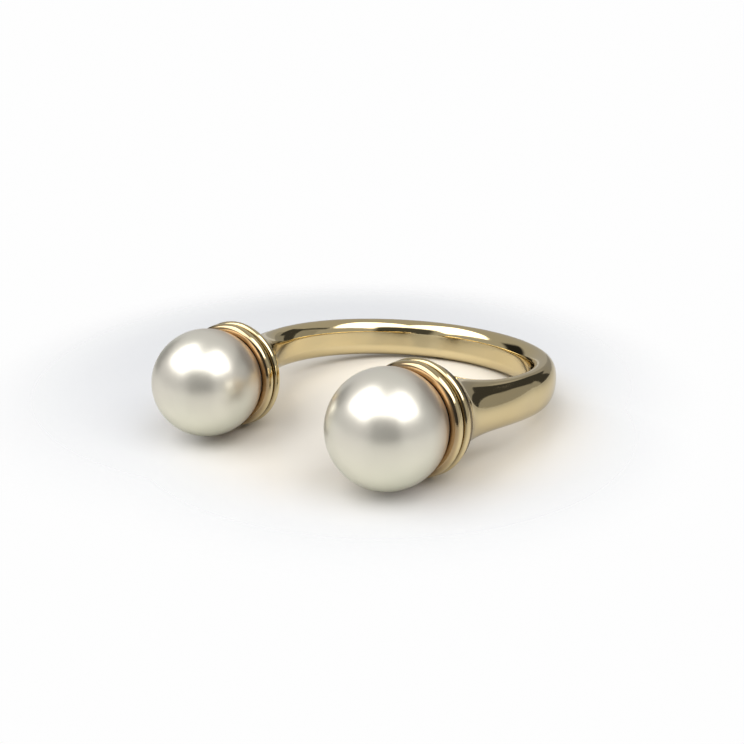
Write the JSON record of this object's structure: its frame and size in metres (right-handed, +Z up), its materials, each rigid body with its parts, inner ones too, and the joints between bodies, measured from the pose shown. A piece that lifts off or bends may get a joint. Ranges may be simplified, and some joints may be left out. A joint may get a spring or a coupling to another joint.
{
  "type": "open cuff finger ring",
  "caption": "Open gold cuff ring, round band with flaring arms that each end in a beaded cup holding a round pearl, lying on its side.",
  "frame": {"origin": "centre of the overall box on the surface that the ring rests on", "axes": "+X across the front opening to the ring's right arm, +Y to the back of the band, +Z up from the surface"},
  "size_m": [0.0206, 0.0252, 0.0068],
  "materials": {
    "gold": "polished",
    "pearl": "satin lustre"
  },
  "bodies": {
    "root": {"shank": "gold", "pearl_left": "pearl", "pearl_right": "pearl"}
  },
  "joints": []
}
